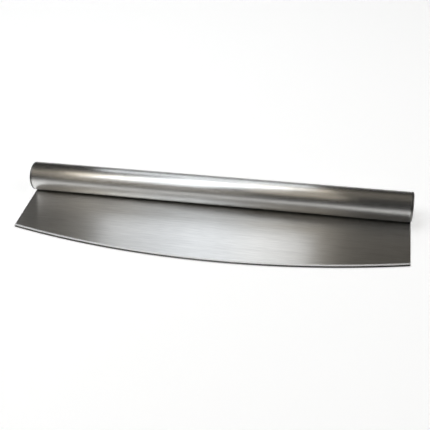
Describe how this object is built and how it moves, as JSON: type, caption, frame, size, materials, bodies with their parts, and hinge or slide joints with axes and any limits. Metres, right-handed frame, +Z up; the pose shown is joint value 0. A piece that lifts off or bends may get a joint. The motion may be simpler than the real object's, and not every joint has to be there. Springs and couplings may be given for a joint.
{
  "type": "rocking pizza knife",
  "caption": "Steel rocking pizza knife: a flat sheet blade with a curved ground edge, welded along the side of a closed tube handle that both hands press and rock.",
  "frame": {"origin": "on the table under the middle of the knife's box, with the knife laid on its side, resting on the rear face of its sheet blade", "axes": "+X along the tube, towards the right end with the edge turned to the viewer; +Y from the cutting edge towards the tube; +Z up from the table, from the blade's rear face towards the tube, which lies on top of the sheet."},
  "size_m": [0.35, 0.0902, 0.028],
  "materials": {
    "brushed_tube": "satin stainless steel, brushed along the tube",
    "satin_cap": "satin stainless steel, turned",
    "brushed_blade": "stainless sheet, brushed lengthwise, with a ground edge",
    "weld_bead": "cleaned weld metal"
  },
  "bodies": {
    "root": {"handle_tube": "brushed_tube", "end_cap_left": "satin_cap", "end_cap_right": "satin_cap", "blade": "brushed_blade", "seam_weld_front": "weld_bead", "seam_weld_rear": "weld_bead"}
  },
  "joints": []
}
